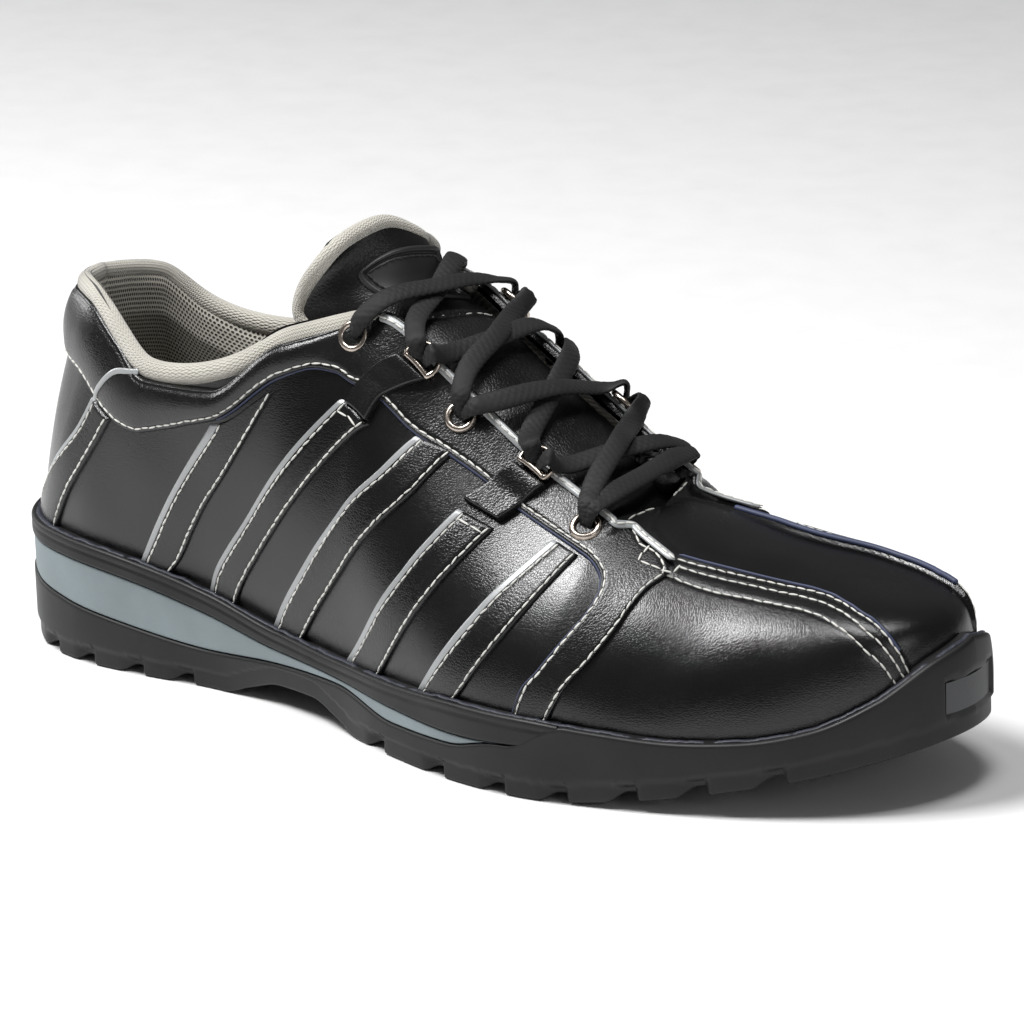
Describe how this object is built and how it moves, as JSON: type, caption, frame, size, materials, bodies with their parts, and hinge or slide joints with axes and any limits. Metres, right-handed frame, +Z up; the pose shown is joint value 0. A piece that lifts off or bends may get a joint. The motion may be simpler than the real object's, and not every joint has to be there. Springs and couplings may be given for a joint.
{
  "type": "low safety shoe",
  "caption": "Low laced safety shoe for the right foot in black coated leather, with slanted side bands, a padded collar, a grey heel cushion and a lugged rubber sole with a toe bumper.",
  "frame": {"origin": "middle of the shoe's box in plan, on the floor that the heel and ball rest on", "axes": "+X from heel to toe, +Y towards the inner (medial) side, +Z up"},
  "size_m": [0.2994, 0.1063, 0.132],
  "materials": {
    "leather": "satin, coated, fine grain",
    "rubber": "matte",
    "cushion": "matte foam skin",
    "lining": "open mesh",
    "metal": "plated wire, slightly warm",
    "cord": "flat braid, matte"
  },
  "bodies": {
    "root": {"upper": "leather", "tongue": "leather", "insole": "lining", "midsole_rim": "rubber", "cushion_wedge": "cushion", "outsole": "rubber", "tongue_patch": "leather", "side_band_lateral_1": "leather", "side_band_lateral_2": "leather", "side_band_lateral_3": "leather", "side_band_lateral_4": "leather", "side_band_lateral_5": "leather", "side_band_lateral_6": "leather", "eyestay_lateral": "leather", "vamp_band_lateral": "leather", "ring_tab_lateral_1": "leather", "ring_tab_lateral_2": "leather", "side_band_medial_1": "leather", "side_band_medial_2": "leather", "side_band_medial_3": "leather", "side_band_medial_4": "leather", "side_band_medial_5": "leather", "side_band_medial_6": "leather", "eyestay_medial": "leather", "vamp_band_medial": "leather", "ring_tab_medial_1": "leather", "ring_tab_medial_2": "leather", "eyelet_lateral_1": "metal", "eyelet_lateral_2": "metal", "eyelet_lateral_3": "metal", "eyelet_medial_1": "metal", "eyelet_medial_2": "metal", "eyelet_medial_3": "metal", "lace_ring_lateral_1": "metal", "lace_ring_lateral_2": "metal", "lace_ring_medial_1": "metal", "lace_ring_medial_2": "metal", "lace": "cord"}
  },
  "joints": []
}
